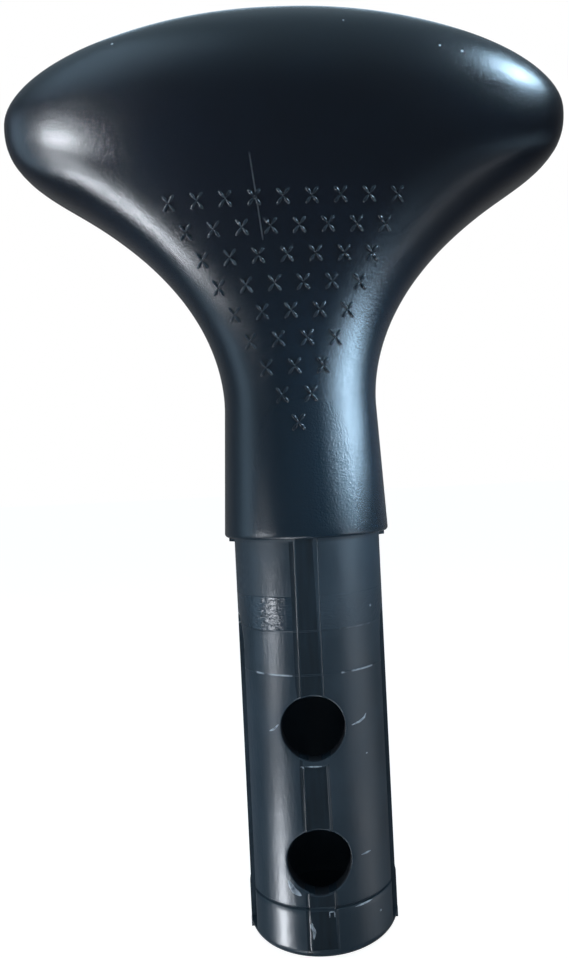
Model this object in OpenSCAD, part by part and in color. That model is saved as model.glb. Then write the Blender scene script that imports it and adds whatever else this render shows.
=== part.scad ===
/* [Head] */
// Width of the palm rest, tip to tip
head_width = 100; // [84:0.2:116]
// Height of the head above the shoulder
head_height = 93.2; // [87:0.2:104]
// Height of the two tips above the shoulder
tip_height = 73.9; // [69:0.1:78]
// Front-to-back thickness of the palm rest
palm_thickness = 29.6; // [26:0.2:34]
// Front-to-back thickness of the slim part below the palm rest
throat_thickness = 25.8; // [23:0.2:28]
// Height over which front and back round over to the crown
crown_height = 19.8; // [16:0.1:24]
// Slope of the underside of each wing
wing_slope = 32.6; // [26:0.2:38]
// How square the head is in plan below its tips, 2 is an ellipse
plan_squareness = 2.7; // [2.1:0.1:3]
// How square it is in plan at the crown
crown_squareness = 2.2; // [2:0.1:3]

/* [Neck] */
// Outside diameter of the lip that stops at the tube's end
lip_diameter = 29.3; // [28.8:0.1:33]
// Diameter at the narrowest place above the lip
waist_diameter = 27.2; // [26:0.1:28.6]
// Height of that narrowest place above the shoulder
waist_height = 23; // [18:0.5:28]
// Rounding of the lip's lower edge
lip_round = 0.6; // [0.3:0.1:0.8]

/* [Shank] */
// Outside diameter of the shank that goes into the tube
shank_diameter = 26; // [24:0.1:27]
// Length of the shank below the shoulder
shank_length = 69.2; // [66:0.2:90]
// Wall thickness of the hollow moulding
wall = 2.4; // [1.8:0.1:2.8]
// Height of the end collar
collar_height = 8.3; // [5:0.1:9]
// How far the end collar stands out from the shank
collar_step = 0.15; // [0.1:0.05:0.25]
// Rounding of the closed end
end_round = 1.8; // [1:0.1:2.2]

/* [Holes] */
// Diameter of the two holes in the front wall
hole_diameter = 10.6; // [7:0.1:12]
// Depth of the upper hole below the shoulder
upper_hole_depth = 31.2; // [26:0.1:33]
// Distance between the holes' centres
hole_spacing = 21.9; // [17:0.1:23]
// Sideways place of the holes, strip and marks from the centre plane
front_shift = -0.5; // [-1:0.1:1]

/* [Strip and side reliefs] */
// Width of the flat strip down the front of the shank
strip_width = 3.4; // [2:0.1:4.4]
// How far the strip's middle stands out from the shank
strip_height = 0.03; // [0.02:0.01:0.05]
// Where each side relief begins below the shoulder
relief_top = 11.4; // [8:0.2:18]
// Depth of each side relief at its middle
relief_depth = 1.2; // [0.6:0.1:1.3]
// Radius of the run-out at the upper end of each relief
relief_runout = 25; // [12:1:40]
// Width of the seam's land, left standing in the middle of each relief
land_width = 4; // [2:0.2:5]
// How far the seam's two nibs reach down under the lip
nib_height = 0.8; // [0.4:0.1:1.2]
// How far the shank flares out to meet the lip, over the nibs' height
root_flare = 0.22; // [0.2:0.01:0.25]
// Depth of the fine raised line round the shank, where two mould inserts meet
mould_line_depth = 22.4; // [18:0.2:25]
// Height of that line
mould_line_height = 0.04; // [0.02:0.01:0.04]

/* [Grip marks] */
// Number of rows of raised crosses, the first row has one cross for each row
mark_rows = 9; // [1:1:9]
// Height of the first row above the shoulder
mark_top = 55.8; // [50:0.1:58]
// Distance between crosses in a row
mark_pitch = 4.7; // [4:0.05:4.8]
// Distance between rows
mark_row_step = 4.6; // [4:0.05:4.8]
// Length of each stroke of a cross
mark_length = 3.4; // [2:0.1:3.8]
// Width of each stroke
mark_stroke = 0.5; // [0.3:0.05:0.7]
// Angle of the strokes from level
mark_angle = 52; // [40:1:60]
// Height of the crosses above the skin
mark_relief = 0.33; // [0.15:0.01:0.5]
// Lean of the whole field towards the left tip
mark_lean = 1.2; // [0:0.1:3]

/* [Colour] */
// Colour of the black plastic
plastic_colour = "#1b2126";

/* [Hidden] */
$fn = 96;
eps = 0.01;

// Points round the head and round its cavity, a multiple of four so that both halves match
ring_points = 4 * round($fn * 0.145);
cavity_points = ring_points / 2;

half_width = head_width / 2;
half_palm = palm_thickness / 2;
lip_r = lip_diameter / 2;
waist_r = waist_diameter / 2;
shank_r = shank_diameter / 2;
bore_r = shank_r - wall;
collar_r = shank_r + collar_step;
collar_top = -(shank_length - collar_height);
lower_hole_depth = upper_hole_depth + hole_spacing;
root_height = nib_height + 0.1;

// Height of the line where the front and back begin to round over into the crown
crown_base = head_height - crown_height;
throat_height = waist_height + 0.38 * (tip_height - waist_height);

// The crown is one arc, then each tip turns round it
rise = head_height - tip_height;
crown_x = 0.728 * half_width;
crown_drop = 0.365 * rise;
crown_r = (crown_x * crown_x + crown_drop * crown_drop) / (2 * crown_drop);
crown_angle = asin(crown_x / crown_r);
crown_end = [crown_x, head_height - crown_drop];
tip = [half_width, tip_height];

// The underside turns from bulging to hollow here
wing_drop = 0.286 * (tip_height - waist_height);
wing = [0.77 * half_width, tip_height - wing_drop];
along_wing = [cos(wing_slope), sin(wing_slope)];
waist = [waist_r, waist_height];
flank_rise = wing[1] - waist_height;
flank_reach = 0.43 * norm(wing - waist);

function bezier(a, b, c, d, t) =
    a * pow(1 - t, 3) + b * 3 * t * pow(1 - t, 2) + c * 3 * t * t * (1 - t) + d * pow(t, 3);

function ease(a, b, t) = a + (b - a) * t * t * (3 - 2 * t);

function part_way(z, low, high) = min(1, max(0, (z - low) / (high - low)));

// The half outline seen from the front, from the lip up over the tip to the crown
neck_line = [for (i = [0 : 3]) let (t = i / 4)
    [lip_r + (waist_r - lip_r) * t, lip_round + (waist_height - lip_round) * t]];
flank_line = [for (i = [0 : 13]) bezier(waist, waist + [0, 0.366 * flank_rise],
    wing - flank_reach * along_wing, wing, i / 14)];
under_line = [for (i = [0 : 6]) bezier(wing, wing + 0.165 * half_width * along_wing,
    tip - [0, 0.53 * wing_drop], tip, i / 7)];
over_line = [for (i = [0 : 5]) bezier(tip, tip + [0, 0.332 * rise],
    crown_end + 0.142 * rise * [cos(crown_angle), -sin(crown_angle)], crown_end, i / 6)];
crown_line = [for (i = [0 : 11]) let (a = crown_angle * (1 - i / 12))
    [crown_r * sin(a), head_height - crown_r * (1 - cos(a))]];
outline = concat(neck_line, flank_line, under_line, over_line, crown_line);
width_table = [for (p = outline) [p[1], p[0]]];

// Half the thickness front to back at a height, before the crown rounds over
function side_depth(z) =
    z < waist_height ? lip_r + (waist_r - lip_r) * part_way(z, lip_round, waist_height)
    : z < throat_height ? ease(waist_r, throat_thickness / 2, part_way(z, waist_height, throat_height))
    : ease(throat_thickness / 2, half_palm, part_way(z, throat_height, crown_base));

// The same with the crown rounded over, for a skin moved in by a given inset
function depth(z, inset) = z < crown_base ? side_depth(z) - inset
    : (half_palm - inset) * sqrt(max(0, 1 - pow((z - crown_base) / (crown_height - inset), 2)));

// The neck is round, the head below its tips is the squarest, and the crown is rounder again
function squareness(z) = z < wing[1] ? ease(2, plan_squareness, part_way(z, waist_height, wing[1]))
    : ease(plan_squareness, crown_squareness, part_way(z, wing[1], crown_base + crown_height / 3));

function plan_point(w, d, n, a) = [
    w * sign(cos(a)) * pow(abs(cos(a)), 2 / n),
    d * sign(sin(a)) * pow(abs(sin(a)), 2 / n)];

// The front skin behind the crosses: its distance from the centre plane at a place
function front_y(x, z) = let (w = lookup(z, width_table), n = squareness(z))
    -depth(z, 0) * pow(1 - pow(abs(x) / w, n), 1 / n);

// A closed skin through level rings [half width, half depth, squareness, height] and a top point
module skin(rings, top, count) {
    last = len(rings) - 1;
    points = concat(
        [for (r = rings) for (j = [0 : count - 1]) let (p = plan_point(r[0], r[1], r[2], 360 * j / count))
            [p[0], p[1], r[3]]],
        [[0, 0, top]]);
    sides = [for (i = [0 : last - 1]) for (j = [0 : count - 1])
        let (a = i * count + j, b = i * count + (j + 1) % count)
        each [[a, a + count, b], [b, a + count, b + count]]];
    cap = [for (j = [0 : count - 1]) [last * count + j, len(points) - 1, last * count + (j + 1) % count]];
    polyhedron(points, concat([[for (j = [0 : count - 1]) j]], sides, cap), convexity = 6);
}

// Outside of the head, from the rounded lip to the crown
module head_skin() {
    lip = [[lip_r - lip_round, lip_r - lip_round, 2, 0],
        [lip_r - 0.3 * lip_round, lip_r - 0.3 * lip_round, 2, 0.3 * lip_round]];
    rest = [for (p = outline) [p[0], depth(p[1], 0), squareness(p[1]), p[1]]];
    skin(concat(lip, rest), head_height, ring_points);
}

// Every second ring of the outline, moved in by the wall
function inset_point(i) = let (a = outline[max(0, i - 1)], b = outline[min(len(outline) - 1, i + 1)],
    along = (b - a) / norm(b - a))
    outline[i] - wall * [along[1], -along[0]];

module head_cavity() {
    first = [[bore_r - 1, bore_r - 1, 2, wall / 2], [lip_r - 1.15 * wall, lip_r - 1.15 * wall, 2, 1.5 * wall]];
    rest = [for (i = [2 : 2 : len(outline) - 1]) let (p = inset_point(i))
        [p[0], depth(p[1], wall), squareness(p[1]), p[1]]];
    skin(concat(first, rest), head_height - wall, cavity_points);
}

// Shank with its end collar and fine mould line, solid, with the closed end's edge rounded
module shank() {
    rotate_extrude()
        difference() {
            union() {
                translate([0, -shank_length])
                    square([collar_r - end_round, end_round + eps]);
                translate([0, end_round - shank_length])
                    square([collar_r, collar_height - end_round]);
                translate([collar_r - end_round, end_round - shank_length])
                    circle(end_round);
                translate([0, collar_top - eps])
                    square([shank_r, -collar_top - root_height + eps]);
                polygon([[0, -root_height - eps], [shank_r, -root_height], [shank_r + root_flare, 0],
                    [shank_r, lip_round], [0, lip_round]]);
                translate([0, -mould_line_depth - 0.15])
                    square([shank_r + mould_line_height, 0.3]);
            }
            translate([-end_round * 2, -shank_length - 1])
                square([end_round * 2, 2 * shank_length]);
        }
}

// The space inside the shank, open to the head's cavity above
module shank_bore() {
    translate([0, 0, wall - shank_length])
        cylinder(h = shank_length - 0.2 * wall, r = bore_r);
}

// Flat strip down the front, between the shoulder and the collar
module strip() {
    translate([front_shift - strip_width / 2, -shank_r - strip_height, collar_top - 0.1])
        cube([strip_width, shank_r - bore_r - 0.5, 0.6 - collar_top]);
}

// The holes go through the front wall only
module holes() {
    for (depth_down = [upper_hole_depth, lower_hole_depth])
        translate([front_shift, 0, -depth_down])
            rotate([90, 0, 0])
                cylinder(h = shank_r + 2, d = hole_diameter);
}

// One side relief: a flat along the seam that runs out to the round shank at its top
module relief() {
    run = sqrt(pow(relief_runout, 2) - pow(relief_runout - relief_depth, 2));
    flat_top = -relief_top - run;
    face = shank_r - relief_depth;
    translate([face, -shank_r, end_round - shank_length])
        cube([relief_depth + 2, 2 * shank_r, flat_top - end_round + shank_length]);
    intersection() {
        translate([face + relief_runout, shank_r, flat_top])
            rotate([90, 0, 0])
                cylinder(h = 2 * shank_r, r = relief_runout);
        translate([face, -shank_r, flat_top - 1])
            cube([relief_depth + 1, 2 * shank_r, run + 1]);
    }
}

// Land of the moulding seam, standing in the relief almost to the shank's full width.
// It runs down to a sharp corner at the closed end, and steps out with the collar
module land() {
    translate([bore_r + 0.5, -land_width / 2, -shank_length])
        cube([shank_r - bore_r - 0.6, land_width, shank_length - relief_top]);
    translate([bore_r + 0.5, -land_width / 2, -shank_length])
        cube([collar_r - bore_r - 0.6, land_width, collar_height - 0.3]);
}

// Nib left by the seam under the lip
module nib() {
    translate([shank_r - 1, -land_width * 0.4, -nib_height])
        cube([lip_r - lip_round - shank_r + 0.8, land_width * 0.8, nib_height + 0.5]);
}

// One raised cross, seated square to the skin at a place on the front
module mark(x, z) {
    step = 0.4;
    slope_x = (front_y(x + step, z) - front_y(x - step, z)) / (2 * step);
    slope_z = (front_y(x, z + step) - front_y(x, z - step)) / (2 * step);
    out = [slope_x, -1, slope_z] / norm([slope_x, -1, slope_z]);
    across = [1, slope_x, 0] / norm([1, slope_x, 0]);
    up = cross(out, across);
    multmatrix([[across[0], up[0], out[0], x],
            [across[1], up[1], out[1], front_y(x, z)],
            [across[2], up[2], out[2], z],
            [0, 0, 0, 1]])
        translate([0, 0, -0.7])
            linear_extrude(height = 0.7 + mark_relief)
                for (side = [-1, 1])
                    rotate(side * mark_angle)
                        square([mark_length, mark_stroke], center = true);
}

// Crosses in rows that lose one each time, so the field narrows into the neck
module marks() {
    for (row = [0 : mark_rows - 1])
        for (k = [0 : mark_rows - 1 - row])
            mark(front_shift - (mark_rows - 1 - row) * mark_row_step * tan(mark_lean)
                + (k - (mark_rows - 1 - row) / 2) * mark_pitch, mark_top - row * mark_row_step);
}

module grip() {
    color(plastic_colour)
        difference() {
            union() {
                head_skin();
                difference() {
                    union() {
                        shank();
                        strip();
                    }
                    relief();
                    mirror([1, 0, 0])
                        relief();
                }
                for (side = [0, 1])
                    mirror([side, 0, 0]) {
                        land();
                        nib();
                    }
                marks();
            }
            head_cavity();
            shank_bore();
            holes();
        }
}

grip();
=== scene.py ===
"""Palm grip for a paddle: one hollow black plastic moulding, dressed for the camera.

The file is laid out as an add-on and run as a script. Sizes are kept in metres in the
property groups and worked in millimetres while a shape is made.
"""

import math
from types import SimpleNamespace

import bmesh
import bpy
import numpy as np
from mathutils import Matrix, Vector


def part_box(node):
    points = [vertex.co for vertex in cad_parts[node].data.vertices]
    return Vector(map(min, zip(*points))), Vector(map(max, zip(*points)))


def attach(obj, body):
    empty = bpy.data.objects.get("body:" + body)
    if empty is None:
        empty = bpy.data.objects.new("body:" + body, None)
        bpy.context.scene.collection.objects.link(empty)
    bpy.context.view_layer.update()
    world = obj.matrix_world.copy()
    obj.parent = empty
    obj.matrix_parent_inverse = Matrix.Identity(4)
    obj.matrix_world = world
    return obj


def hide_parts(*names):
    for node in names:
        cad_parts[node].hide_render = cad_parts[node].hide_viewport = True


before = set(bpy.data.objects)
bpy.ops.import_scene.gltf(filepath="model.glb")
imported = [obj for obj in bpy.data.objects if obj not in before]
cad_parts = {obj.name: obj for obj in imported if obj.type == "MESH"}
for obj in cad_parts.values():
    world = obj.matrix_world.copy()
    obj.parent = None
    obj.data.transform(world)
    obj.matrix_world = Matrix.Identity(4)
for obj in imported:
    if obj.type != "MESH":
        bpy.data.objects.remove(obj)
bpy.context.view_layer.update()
LOW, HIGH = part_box("grip")

bl_info = {
    "name": "Paddle grip",
    "version": (1, 0, 0),
    "blender": (4, 5, 0),
    "location": "View3D > Sidebar > Paddle grip",
    "description": "Makes a hollow plastic palm grip with its raised crosses, seam marks and studio",
    "category": "Add Mesh",
}

MM = 0.001


# Sizes and colours that a user would change


def size(name, description, millimetres):
    return bpy.props.FloatProperty(
        name=name, description=description, default=millimetres * MM,
        subtype="DISTANCE", unit="LENGTH", precision=5, soft_min=0)


def colour(name, description, hex_value):
    return bpy.props.FloatVectorProperty(
        name=name, description=description, default=linear(hex_value),
        subtype="COLOR", size=4, min=0, max=1)


def linear(hex_value):
    """An sRGB hex colour as the linear values that the shaders take."""
    out = []
    for k in (1, 3, 5):
        c = int(hex_value[k:k + 2], 16) / 255
        out.append(c / 12.92 if c <= 0.04045 else ((c + 0.055) / 1.055) ** 2.4)
    return (*out, 1.0)


class HeadSizes(bpy.types.PropertyGroup):
    head_width: size("Width", "Palm rest, tip to tip", (HIGH[0] - LOW[0]) / MM)
    head_height: size("Height", "Crown above the shoulder", HIGH[2] / MM)
    tip_height: size("Tip height", "Widest place above the shoulder", 73.9)
    palm_thickness: size("Palm thickness", "Front to back at the palm rest", (HIGH[1] - LOW[1]) / MM)
    throat_thickness: size("Throat thickness", "Front to back below the palm rest", 25.8)
    crown_height: size("Crown rounding", "Height over which front and back round over", 19.8)
    wing_slope: bpy.props.FloatProperty(
        name="Wing slope", description="Slope of the underside of each wing",
        default=math.radians(32.6), subtype="ANGLE", unit="ROTATION")
    plan_squareness: bpy.props.FloatProperty(
        name="Squareness", default=2.7, min=2, max=3,
        description="How square the head is in plan below its tips, 2 is an ellipse")
    crown_squareness: bpy.props.FloatProperty(
        name="Crown squareness", description="How square the crown is in plan",
        default=2.2, min=2, max=3)
    lip_diameter: size("Lip", "Outside of the lip that stops at the tube's end", 29.3)
    waist_diameter: size("Waist", "Narrowest place above the lip", 27.2)
    waist_height: size("Waist height", "Narrowest place above the shoulder", 23)
    lip_round: size("Lip rounding", "Rounding of the lip's lower edge", 0.6)
    wall: size("Wall", "Thickness of the hollow moulding", 2.4)


class ShankSizes(bpy.types.PropertyGroup):
    shank_diameter: size("Diameter", "Part that goes into the tube", 26)
    shank_length: size("Length", "Below the shoulder", -LOW[2] / MM)
    root_flare: size("Root flare", "How far the shank flares out to meet the lip", 0.22)
    collar_height: size("Collar height", "End collar", 8.3)
    collar_step: size("Collar step", "How far the collar stands out", 0.15)
    collar_groove: size("Collar groove", "Depth of the groove above the collar", 0.22)
    end_round: size("End rounding", "Rounding of the closed end", 1.8)
    strip_top_width: size("Strip at the lip", "Width of the flat strip at its upper end", 2.75)
    strip_end_width: size("Strip at the end", "Width of the flat strip at its lower end", 4.1)
    strip_height: size("Strip height", "How far the strip stands out", 0.03)
    strip_edge: size("Strip edge", "Width of the strip's rounded edges", 0.32)
    relief_top: size("Relief top", "Where each side relief begins, below the shoulder", 11.4)
    relief_depth: size("Relief depth", "Depth of each side relief", 1.2)
    relief_runout: size("Relief run-out", "Radius at the relief's upper end", 25)
    land_width: size("Seam land", "Land left in the middle of each relief", 4)
    nib_height: size("Nibs", "How far the seam's nibs reach down under the lip", 0.8)
    upper_line: size("Upper mould line", "Fine raised line, below the shoulder", 15.2)
    lower_line: size("Lower mould line", "Fine raised line, below the shoulder", 22.4)
    line_height: size("Mould line height", "How far the fine lines stand out", 0.04)


class HoleSizes(bpy.types.PropertyGroup):
    hole_diameter: size("Diameter", "Both holes in the front wall", 10.6)
    upper_hole_depth: size("Upper hole", "Centre below the shoulder", 31.2)
    hole_spacing: size("Spacing", "Between the holes' centres", 21.9)
    front_shift: size("Sideways shift", "Holes and crosses from the centre plane", -0.5)
    rim_round: size("Rim rounding", "Rounding of the holes' outer edges", 0.3)


class MarkSizes(bpy.types.PropertyGroup):
    mark_rows: bpy.props.IntProperty(
        name="Rows", description="Rows of raised crosses, each a cross shorter than the last",
        default=9, min=1, max=9)
    mark_top: size("First row", "Height above the shoulder", 55.8)
    mark_pitch: size("Pitch", "Between crosses in a row", 4.7)
    mark_row_step: size("Row step", "Between rows", 4.6)
    mark_length: size("Stroke", "Length of each stroke of a cross", 3.5)
    mark_stroke: size("Stroke width", "Width of a stroke at its broad end", 0.74)
    mark_angle: bpy.props.FloatProperty(
        name="Stroke angle", description="Strokes from level",
        default=math.radians(52), subtype="ANGLE", unit="ROTATION")
    mark_relief: size("Relief", "Height of the crosses above the skin", 0.32)
    mark_lean: bpy.props.FloatProperty(
        name="Lean", description="Lean of the whole field towards the left tip",
        default=math.radians(1.2), subtype="ANGLE", unit="ROTATION")


class FinishColours(bpy.types.PropertyGroup):
    head_black: colour("Head", "Grained black of the head", "#0b0f16")
    head_sheen: colour("Head, worn", "Black where the grain is polished by the hand", "#0e141c")
    shank_slate: colour("Shank", "Smooth slate black of the shank", "#212d36")
    shank_haze: colour("Shank haze", "Paler haze in the shank's skin", "#28353f")
    strip_black: colour("Strip", "Dark polished face of the strip", "#15191c")
    # paler tops of the crosses: partly wear, partly painted glints
    cross_wear_and_glint: colour("Crosses", "Worn paler tops of the crosses", "#222a31")
    neck_black: colour("Neck", "Slate cast of the black towards the neck", "#15212a")
    # pale stress marks, scratches and dust; on the slivers at the hole rims and the collar's top
    # edge this pale grey is a painted highlight
    pale_marks_and_highlights: colour("Bruise", "Pale stress marks and scratches", "#b0b8c0")
    floor_white: colour("Floor", "Matte studio floor", "#f4f4f4")
    window_cool: colour("Right lamp", "Cool soft lamp", "#c2e5ff")
    window_plain: colour("Left lamp", "Plain soft lamp", "#f0f5fc")


class PaddleGripSettings(bpy.types.PropertyGroup):
    head: bpy.props.PointerProperty(type=HeadSizes)
    shank: bpy.props.PointerProperty(type=ShankSizes)
    holes: bpy.props.PointerProperty(type=HoleSizes)
    marks: bpy.props.PointerProperty(type=MarkSizes)
    colours: bpy.props.PointerProperty(type=FinishColours)


def in_mm(*groups):
    """The groups' sizes as one namespace, lengths in millimetres."""
    out = SimpleNamespace()
    for group in groups:
        for key in group.bl_rna.properties.keys():
            rna = group.bl_rna.properties[key]
            if key in ("rna_type", "name"):
                continue
            value = getattr(group, key)
            setattr(out, key, value / MM if rna.subtype == "DISTANCE" else value)
    return out


# The head's skin


def bezier(a, b, c, d, count=160):
    t = np.linspace(0, 1, count)[:, None]
    return a * (1 - t) ** 3 + 3 * b * t * (1 - t) ** 2 + 3 * c * t * t * (1 - t) + d * t ** 3


def ease(a, b, t):
    return a + (b - a) * t * t * (3 - 2 * t)


def part_way(z, low, high):
    return np.clip((z - low) / (high - low), 0, 1)


def wing_point(g):
    """Where the underside turns from bulging to hollow, and how far it lies below the tip."""
    drop = 0.286 * (g.tip_height - g.waist_height)
    return np.array([0.77 * g.head_width / 2, g.tip_height - drop]), drop


def half_outline(g):
    """Half width and height from the lip up the flank, round the tip and along the crown."""
    half = g.head_width / 2
    rise = g.head_height - g.tip_height
    crown_x, crown_drop = 0.728 * half, 0.365 * rise
    radius = (crown_x ** 2 + crown_drop ** 2) / (2 * crown_drop)
    turn = math.asin(crown_x / radius)
    crown_end = np.array([crown_x, g.head_height - crown_drop])
    tip = np.array([half, g.tip_height])
    wing, drop = wing_point(g)
    along = np.array([math.cos(g.wing_slope), math.sin(g.wing_slope)])
    waist = np.array([g.waist_diameter / 2, g.waist_height])
    up = np.array([0, 1.0])
    reach = 0.43 * np.linalg.norm(wing - waist)
    neck = np.linspace([g.lip_diameter / 2, g.lip_round], waist, 80)
    leg = 0.366 * (wing[1] - g.waist_height)
    flank = bezier(waist, waist + leg * up, wing - reach * along, wing)
    under = bezier(wing, wing + 0.165 * half * along, tip - 0.53 * drop * up, tip)
    leave = 0.142 * rise * np.array([math.cos(turn), -math.sin(turn)])
    over = bezier(tip, tip + 0.332 * rise * up, crown_end + leave, crown_end)
    a = np.linspace(turn, 0, 200)
    crown = np.c_[radius * np.sin(a), g.head_height - radius * (1 - np.cos(a))]
    return np.vstack([neck[:-1], flank[:-1], under[:-1], over[:-1], crown])


def half_depth(g, z, inset=0.0):
    """Half the thickness front to back at a height, for a skin moved in by an inset."""
    z = np.asarray(z, float)
    waist, lip, half_palm = g.waist_diameter / 2, g.lip_diameter / 2, g.palm_thickness / 2
    crown_base = g.head_height - g.crown_height
    throat_height = g.waist_height + 0.38 * (g.tip_height - g.waist_height)
    neck = lip + (waist - lip) * part_way(z, g.lip_round, g.waist_height)
    throat = ease(waist, g.throat_thickness / 2, part_way(z, g.waist_height, throat_height))
    palm = ease(g.throat_thickness / 2, half_palm, part_way(z, throat_height, crown_base))
    side = np.where(z < g.waist_height, neck, np.where(z < throat_height, throat, palm)) - inset
    over = np.clip((z - crown_base) / (g.crown_height - inset), 0, 1)
    return np.where(z < crown_base, side, (half_palm - inset) * np.sqrt(1 - over ** 2))


def squareness(g, z):
    """The neck is round, the head below its tips is the squarest, and the crown is rounder again."""
    z = np.asarray(z, float)
    wing = wing_point(g)[0][1]
    low = ease(2, g.plan_squareness, part_way(z, g.waist_height, wing))
    high = g.head_height - g.crown_height * 2 / 3
    top = ease(g.plan_squareness, g.crown_squareness, part_way(z, wing, high))
    return np.where(z < wing, low, top)


def section(g, s, c, w, z, inset=0.0):
    """One row of the head at a height, from the sines and cosines of its columns."""
    n, d = float(squareness(g, z)), float(half_depth(g, z, inset))
    return np.c_[w * np.sign(s) * np.abs(s) ** (2 / n),
                 -d * np.sign(c) * np.abs(c) ** (2 / n), np.full(s.size, z)]


def spaced(line, step):
    """A dense line thinned to points an even distance apart, both ends kept."""
    run = np.r_[0, np.cumsum(np.linalg.norm(np.diff(line, axis=0), axis=1))]
    at = np.linspace(0, run[-1], max(2, int(round(run[-1] / step)) + 1))
    return np.c_[np.interp(at, run, line[:, 0]), np.interp(at, run, line[:, 1])]


# Columns round the moulding. A turn is 0 at the front and grows towards +X.
# Columns of the strip and of the seam's land hold their own place on every row of the shank.

# kinds of column that belong to the strip
STRIP = ("left", "strip", "right", "ledge", "outer")
# share of an edge's width and of its height: a step with a slight bead on top
EDGE = ((0.0, 0.0), (0.2, 0.1), (0.42, 0.42), (0.62, 0.82), (0.8, 1.1), (1.0, 1.0))
# the field of mesh round each hole: its left and right side and its half height, in millimetres
FIELD_LEFT, FIELD_RIGHT, PATCH = -8.5, 7.5, 7.2


def hole_heights(g):
    """Heights of the two holes' centres, the upper one first."""
    return [-g.upper_hole_depth, -(g.upper_hole_depth + g.hole_spacing)]


def strip_edges(g, z):
    """Left edge, right edge and the end of the narrow ledge beside it, at a height on the shank."""
    t = part_way(np.asarray(-z, float), 0, g.shank_length)
    width = g.strip_top_width + (g.strip_end_width - g.strip_top_width) * t
    middle = g.front_shift * (1.26 - 0.7 * t)
    ledge = 0.3 + 0.45 * (1 - part_way(np.asarray(-z, float), 0, 22)) ** 1.3
    return middle - width / 2, middle + width / 2, middle + width / 2 + ledge


def columns(g):
    """Each column as (turn, kind, share). Kinds: plain, strip, ledge, beside, land."""
    r = g.shank_diameter / 2
    out = [(math.asin(x / r), "plain", 0) for x in np.linspace(FIELD_LEFT, -3.1, 10)]
    strip = [("left", k) for k in range(len(EDGE) - 1)]
    strip += [("strip", s) for s in np.linspace(0, 1, 6)]
    strip += [("right", k) for k in range(len(EDGE) - 2, 1, -1)] + [("ledge", 0.0), ("ledge", 1.0)]
    strip += [("outer", k) for k in range(len(EDGE) - 2, -1, -1)]
    out += [(math.asin(float(strip_x(g, -10, kind, share)) / r), kind, share)
            for kind, share in strip]
    out += [(math.asin(x / r), "plain", 0) for x in np.linspace(2.5, FIELD_RIGHT, 10)]
    face = r - g.relief_depth
    crease = math.asin(face / r)
    half = g.land_width / 2
    beside = math.atan2(face, half + 0.08)
    steps = np.r_[np.linspace(math.asin(FIELD_RIGHT / r), crease, 13)[1:],
                  np.linspace(crease, beside, 9)[1:]]
    land = [(math.pi / 2 + math.asin(s * half / r), "land", s)
            for s in (-1, -0.86, -0.8, -0.4, 0, 0.4, 0.8, 0.86, 1)]
    back = np.r_[math.pi - beside, np.linspace(math.pi - beside, math.pi - crease, 8)[1:],
                 np.linspace(math.pi - crease, math.pi, 23)[1:-1]]
    right_side = [(a, "plain", 0) for a in steps] + land + [(a, "plain", 0) for a in back]
    start = math.asin(FIELD_LEFT / r)
    left_steps = np.r_[np.linspace(-start, crease, 11)[1:], np.linspace(crease, beside, 9)[1:]]
    left_side = [(a, "plain", 0) for a in left_steps] + land + [(a, "plain", 0) for a in back]
    left_side = [(-a, kind, s) for a, kind, s in reversed(left_side)]
    return left_side + out + right_side + [(math.pi, "plain", 0)]


def head_rows(g, cols, step):
    """Rows of the head's outside from the crown down to the lip's underside."""
    turn = np.array([c[0] for c in cols])
    s, c = np.sin(turn), np.cos(turn)
    line = spaced(half_outline(g), step)[::-1][1:]
    rows = [section(g, s, c, w, z) for w, z in line]
    foot = g.lip_diameter / 2 - g.lip_round
    for a in np.radians([18, 36, 54, 72, 90]):
        r, z = foot + g.lip_round * math.cos(a), g.lip_round * (1 - math.sin(a))
        rows.append(np.c_[r * s, -r * c, np.full(s.size, z)])
    return rows


def shank_levels(g):
    """(height, radius) of each row of the shank, from under the lip to the closed end."""
    r = g.shank_diameter / 2
    foot = g.nib_height + 0.1
    out = [(-foot * t, r + g.root_flare * (1 - t) ** 2) for t in (0, 0.25, 0.5, 0.75)]
    out += [(-g.nib_height + 0.04, r), (-g.nib_height - 0.04, r), (-foot - 0.1, r)]
    collar_top = g.collar_height - g.shank_length
    collar = r + g.collar_step

    def fill(low, step=0.75):
        high = out[-1][0]
        count = max(1, math.ceil((high - low) / step))
        out.extend((high + (low - high) * k / count, r) for k in range(1, count + 1))

    for line in (g.upper_line, g.lower_line):
        fill(-line + 0.24)
        out.extend([(-line + 0.15, r + 0.2 * g.line_height), (-line + 0.07, r + g.line_height),
                    (-line - 0.07, r + g.line_height), (-line - 0.15, r + 0.2 * g.line_height),
                    (-line - 0.24, r)])
    for top in [z + PATCH for z in hole_heights(g)]:
        fill(top)
        fill(top - 2 * PATCH, 2 * PATCH / 16)
    cut = g.collar_groove
    fill(collar_top + 0.52)
    out.extend([(collar_top + 0.46, r - 0.3 * cut), (collar_top + 0.34, r - 0.9 * cut),
                (collar_top + 0.14, r - cut), (collar_top + 0.04, r - 0.8 * cut),
                (collar_top, r + 0.3 * g.collar_step), (collar_top - 0.05, collar - 0.04),
                (collar_top - 0.16, collar)])
    end = g.end_round - g.shank_length
    low = end + 0.03
    count = math.ceil((out[-1][0] - low) / 0.8)
    high = out[-1][0]
    out.extend((high + (low - high) * k / count, collar) for k in range(1, count + 1))
    out.append((end - 0.03, collar))
    for a in np.radians(np.linspace(11.25, 90, 8)):
        out.append((end - g.end_round * math.sin(a), collar - g.end_round * (1 - math.cos(a))))
    out += [(-g.shank_length, 0.72 * r), (-g.shank_length, 0.36 * r)]
    return out


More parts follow.
